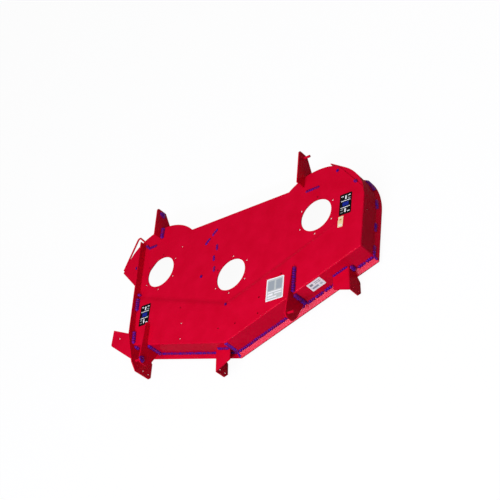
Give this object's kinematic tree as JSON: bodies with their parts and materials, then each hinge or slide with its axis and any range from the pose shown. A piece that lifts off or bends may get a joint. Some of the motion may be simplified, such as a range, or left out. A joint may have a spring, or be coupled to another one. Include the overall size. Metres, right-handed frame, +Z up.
{
  "type": "lawn mower deck",
  "caption": "Welded shell of a side-discharge lawn mower deck in red powder coat, with spindle openings, bullnose lip, lift hangers and roller ears.",
  "frame": {"origin": "axis of the centre spindle bore, on the upper face of the top sheet", "axes": "+X to the closed end, +Y to the rear of the machine, +Z up, along the spindle axes"},
  "size_m": [1.5839, 1.0464, 0.2135],
  "materials": {
    "red_powder_coat": "satin powder coat",
    "weld_bead": "heat-tinted, as welded",
    "label_film": "printed film"
  },
  "bodies": {
    "root": {"deck_top": "red_powder_coat", "corner_skirt": "red_powder_coat", "rear_skirt_right": "red_powder_coat", "rear_skirt_centre": "red_powder_coat", "rear_skirt_left": "red_powder_coat", "front_right_lip": "red_powder_coat", "front_left_lip": "red_powder_coat", "right_end_lip": "red_powder_coat", "discharge_side_plate": "red_powder_coat", "chute_rod": "red_powder_coat", "chute_bracket": "red_powder_coat", "front_hanger_right": "red_powder_coat", "front_hanger_left": "red_powder_coat", "rear_hanger_right": "red_powder_coat", "rear_hanger_left": "red_powder_coat", "roller_bracket_right": "red_powder_coat", "roller_bracket_centre": "red_powder_coat", "baffle_right": "red_powder_coat", "baffle_centre": "red_powder_coat", "baffle_left": "red_powder_coat", "rear_divider": "red_powder_coat", "centre_divider": "red_powder_coat"}
  },
  "joints": []
}
